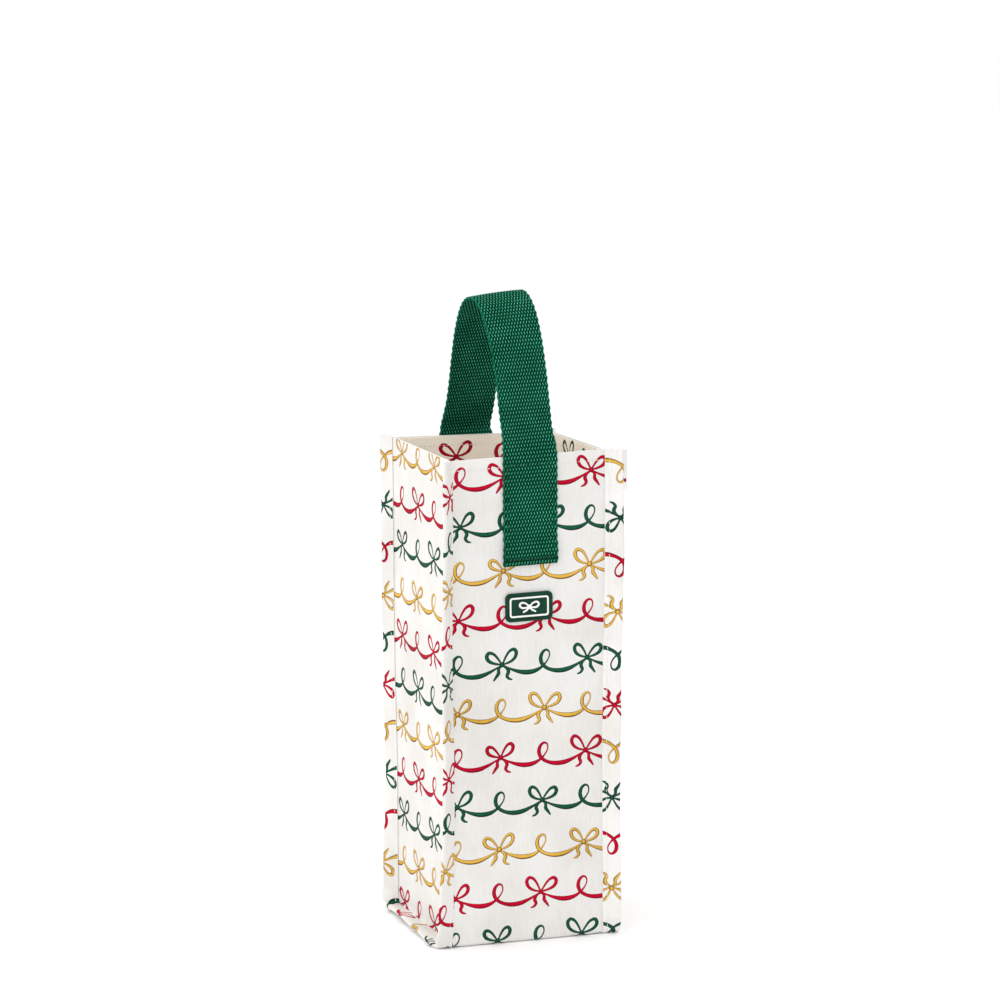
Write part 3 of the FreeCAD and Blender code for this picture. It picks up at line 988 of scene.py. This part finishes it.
def strap():
    run, depth, height = strap_line()
    columns = np.linspace(-STRAP_WIDTH / 2, STRAP_WIDTH / 2, 2 * COLUMNS + 1)
    tangent = unit(np.column_stack([np.zeros(len(run)), -np.gradient(depth), np.gradient(height)]))
    shift, turn, roll = loop_shape(depth, height)
    wide = np.column_stack([np.cos(turn), np.sin(turn), np.sin(roll)])
    normal = unit(np.cross(wide, tangent))
    # where the rear leg twists beside the wall, its middle stands off by as much as its edge comes in
    stand_off = np.sin(turn) * STRAP_WIDTH / 2 * (depth < 0) * (1 - smooth((height - RIM - 4) / 22))
    middle = np.column_stack([shift, -depth + stand_off, height])
    free = smooth((height - RIM) / 40)
    across, along = np.meshgrid(columns, run)
    selvedge = np.abs(across) > STRAP_WIDTH / 2 - SELVEDGE
    scallop = np.where(selvedge, 0.3 * np.cos(2 * pi * along / FLOAT_PITCH) * np.sign(across), 0)
    zigzag = -ZIGZAG * np.sin(2 * pi * (along / FLOAT_PITCH - FLOAT_SHARE / 2)) * (1 - selvedge)
    cross_line = np.abs(height - STRAP_FOOT - CROSS_STITCH) < 0.5
    points, reliefs = [], []
    for face in (1, -1):
        relief = float_height(across * face, along)
        relief = np.where(selvedge, 0.3 + 0.4 * relief, relief)
        relief[cross_line] *= 0.4
        stand = face * (LAYER - RELIEF + RELIEF * relief)
        cupped = 0.5 * free[:, None] * (across / STRAP_WIDTH * 2) ** 2
        p = middle[:, None] + wide[:, None] * (across + scallop + zigzag)[..., None]
        p = (p + normal[:, None] * (stand - cupped)[..., None]).reshape(-1, 3)
        points.append(p + (settle(p) - p) * np.repeat(1 - free, len(columns))[:, None])
        reliefs.append(relief.ravel())
    grid = np.arange(along.size).reshape(along.shape)
    far = grid.size
    front = np.stack([grid[:-1, :-1], grid[:-1, 1:], grid[1:, 1:], grid[1:, :-1]], axis=2).reshape(-1, 4)
    faces = front.tolist() + (front[:, [0, 3, 2, 1]] + far).tolist()
    rim = np.concatenate([grid[0], grid[1:, -1], grid[-1, -2::-1], grid[-2:0:-1, 0]])
    after = np.roll(rim, -1)
    faces += np.column_stack([after, rim, rim + far, after + far]).tolist()
    thing = make_mesh("webbing_handle", np.vstack(points), faces, [WEBBING])
    layer = thing.data.attributes.new("relief", "FLOAT", "POINT")
    layer.data.foreach_set("value", np.concatenate(reliefs).astype(np.float32))
    return thing


handle = strap()
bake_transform(handle)
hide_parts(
    "handle_front_end", "handle_front_bend", "handle_loop", "handle_rear_bend", "handle_rear_end"
)


def strap_face(depth):
    """place() for the outside of the sewn webbing, with u across and v up."""

    def place(u, v, _):
        layers = np.where(v < STRAP_FOOT + FOLD, 3, 3 - 2 * smooth((v - STRAP_FOOT - FOLD) / 6))
        stand = SEWN + LAYER * layers
        shift, _, _ = loop_shape(np.full(len(v), -depth * SEWN), v)
        return settle(np.column_stack([shift - depth * u, depth * stand, v]))

    return place


def strap_stitches(depth, name):
    corners = rectangle(STRAP_WIDTH / 2 - 2.5, STRAP_FOOT + CROSS_STITCH, RIM - 6)
    face = strap_face(depth)
    sides = zip(corners, corners[1:] + corners[:1])
    runs = [stitch_frames(face, start, end, 3.0, -0.05) for start, end in sides]
    sew(name, runs, 2.5, 0.6, "green_thread")


strap_stitches(-1, "handle_front")
strap_stitches(1, "handle_rear")


# ---- rubber patch
PATCH_CENTRE = (PATCH_LOW + PATCH_HIGH) / 2
PATCH_SIZE = PATCH_HIGH - PATCH_LOW
PATCH_CORNER = 3.5


def on_patch(x, z, height):
    """A point of the patch, from its centre, standing height out from the wall."""
    return PATCH_CENTRE.x + x, -HALF - height, PATCH_CENTRE.z + z


def patch_loop(inset, height):
    """A rounded rectangle, inset from the patch's outline, standing height out from the wall."""
    radius = max(PATCH_CORNER - inset * 0.6, 0.5)
    middle_x = PATCH_SIZE.x / 2 - inset - radius
    middle_z = PATCH_SIZE.z / 2 - inset - radius
    loop = []
    for x, z, turn in ((1, -1, -pi / 2), (1, 1, 0), (-1, 1, pi / 2), (-1, -1, pi)):
        for angle in np.linspace(turn, turn + pi / 2, 9):
            round_x, round_z = radius * cos(angle), radius * sin(angle)
            loop.append(on_patch(x * middle_x + round_x, z * middle_z + round_z, height))
    return loop


def skin(loops, closed=False, first=0):
    """Faces over loops of points; closed joins the last loop to the first, else both ends are capped."""
    rows = first + np.arange(len(loops) * len(loops[0])).reshape(len(loops), -1)
    after = np.roll(rows, -1, axis=1)
    faces = []
    for i in range(-1 if closed else 0, len(rows) - 1):
        faces += np.column_stack([rows[i], after[i], after[i + 1], rows[i + 1]]).tolist()
    if not closed:
        faces += [rows[0][::-1].tolist(), rows[-1].tolist()]
    return faces


def lofted(name, loops, material, closed=False):
    return make_mesh(name, settle(np.vstack(loops)), skin(loops, closed), [material])


def soften(thing, width):
    bevel = thing.modifiers.new("edges", "BEVEL")
    bevel.width = width * MM
    bevel.segments = 2
    bevel.limit_method = "ANGLE"
    bevel.angle_limit = radians(35)
    with bpy.context.temp_override(object=thing, active_object=thing):
        bpy.ops.object.modifier_apply(modifier=bevel.name)


# (inset, height) round a section of the patch's body, and of its border line
BODY_PROFILE = [
    (0.25, 0.02), (0, 0.3), (0, 1.35), (0.12, 1.7), (0.4, 1.85), (1.6, 1.85), (1.95, 1.72), (2.1, 1.2),
    (2.35, 1.02), (2.9, 1),
]
LINE_PROFILE = [(2.8, 0.9), (2.8, 1.5), (2.98, 1.68), (3.82, 1.68), (4, 1.5), (4, 0.9)]
body = lofted("patch_body", [patch_loop(*corner) for corner in BODY_PROFILE], PATCH_GREEN)
finish_piece(body, "patch_rubber", "patch_base")
line = lofted("patch_frame", [patch_loop(*corner) for corner in LINE_PROFILE], PATCH_WHITE, closed=True)
finish_piece(line, "patch_marks", "patch_border")

# The right half of the raised bow, as (x, z, width), and its ribbons' and its knot's sections
MARK_LOOP = [
    (0.4, 0.2, 1), (2.4, 2.3, 1.1), (5.4, 3, 1.3), (6.8, 1.3, 1.4), (5.2, -0.4, 1.3), (2.4, -0.5, 1.1),
    (0.4, -0.1, 1),
]
MARK_TAIL = [(0.5, -0.3, 1), (1.8, -2, 1.2), (4.6, -3.4, 1)]
RIBBON_SECTION = [(1, 0.9), (1, 1.5), (0.72, 1.7), (-0.72, 1.7), (-1, 1.5), (-1, 0.9)]
KNOT_SECTION = [(1, 0.9), (1, 1.6), (0.8, 1.85), (0.35, 1.92)]


def mark_bow():
    """A raised bow: each ribbon is a closed bar with rounded edges."""
    parts = []
    for stroke in (MARK_LOOP, MARK_TAIL):
        for side in (-1, 1):
            s = curve_through([(side * x, z, w) for x, z, w in stroke], 0.5)
            half = directions(s)[1] * s[:, 2:3] / 2
            ribbon = []
            for middle, out in zip(s[:, :2], half):
                ribbon.append([on_patch(*(middle + out * u), height) for u, height in RIBBON_SECTION])
            parts.append(ribbon)
    knot = disc(1.5, 14)
    parts.append([[on_patch(x, z, height) for x, z in knot * radius] for radius, height in KNOT_SECTION])
    points, faces = [], []
    for loops in parts:
        faces += skin(loops, first=len(points))
        points += [p for loop in loops for p in loop]
    return make_mesh("patch_bow", settle(np.array(points)), faces, [PATCH_WHITE])


finish_piece(mark_bow(), "patch_marks", "patch_motif")


# ---- folded tab behind the front right seam
def seam_tab():
    """A short piece of tape, folded behind the tip of the seam, with one stroke of the print."""
    length, stand, half, inside = 26.0, 2.1, 0.55, -4.0
    stroke_top, stroke_foot = 17.2, 19.4  # below the rim
    top = SEAM_LENGTH - 0.4
    below = np.linspace(top - length, SEAM_LENGTH - stroke_foot, 4)
    above = np.linspace(SEAM_LENGTH - stroke_top, top, 11)
    levels = np.concatenate([below, above])
    root, way_out, normal, _ = seam_frame(1, levels)
    section = [(inside, -half), (0, -half), (stand - half, -half), (stand, 0)]
    section += [(x, -y) for x, y in reversed(section[:-1])]
    loops = []
    for r, out, n in zip(root, way_out, normal):
        loops.append([r + out * (TAPE_REACH + x) + n * y for x, y in section])
    thing = lofted("seam_tab", loops, OUTSIDE[0])
    thing.data.materials.append(OUTSIDE[1])
    for face in thing.data.polygons:
        flat_side = face.index % len(section) in (1, 4)
        face.material_index = int(flat_side and stroke_top < RIM - face.center.z / MM < stroke_foot)
    soften(thing, 0.2)
    finish_piece(thing, "printed_tape")


seam_tab()

# The board stays as the CAD model has it, with its own material
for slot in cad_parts["base_board"].material_slots:
    slot.material = BOARD


# ---- floor, light and camera
def floor_material():
    material, shader, place = new_material("studio_floor", 0.6, 0.2)
    colour_by(noise(place, 3, 2), [(0.3, (0.94, 0.94, 0.94)), (0.7, (0.96, 0.96, 0.96))], shader)
    glow(shader, (1, 1, 1, 1))
    return material


FLOOR_REACH = 9000
FLOOR_HEIGHT = -0.3
floor_corners = [(x, y, FLOOR_HEIGHT) for x, y in rectangle(FLOOR_REACH, -FLOOR_REACH, FLOOR_REACH)]
make_mesh("studio_floor", floor_corners, [[0, 1, 2, 3]], [floor_material()])

world = bpy.data.worlds.new("studio")
world.use_nodes = True
background = world.node_tree.nodes["Background"].inputs
background["Color"].default_value = (1, 1, 1, 1)
background["Strength"].default_value = 1.0
bpy.context.scene.world = world
bpy.context.scene.view_settings.view_transform = "Standard"


def aimed(name, data, azimuth, elevation, distance, height):
    """A light or a camera that looks at the bag. Azimuth 0 is in front, and it grows towards +X."""
    thing = bpy.data.objects.new(name, data)
    a, e = radians(azimuth), radians(elevation)
    away = Vector((sin(a) * cos(e), -cos(a) * cos(e), sin(e)))
    thing.location = Vector((0, 0, height)) + away * distance
    thing.rotation_euler = away.to_track_quat("Z", "Y").to_euler()
    bpy.context.scene.collection.objects.link(thing)
    return thing


def area_light(name, azimuth, elevation, distance, size, power):
    light = bpy.data.lights.new(name, "AREA")
    light.shape = "SQUARE"
    light.size = size
    light.energy = power
    aimed(name, light, azimuth, elevation, distance, 0.2)


area_light("key_softbox", -88, 24, 1.7, 1.1, 4.0)
area_light("top_softbox", -90, 80, 2.2, 2.0, 15)

# The photo's view, fitted to the bag's corners in it
camera = bpy.data.cameras.new("camera")
camera.lens = 134.46
camera.sensor_width = 36
camera.clip_end = 50
bpy.context.scene.camera = aimed("camera", camera, -19.56, 9.16, 2.5, 0.290)
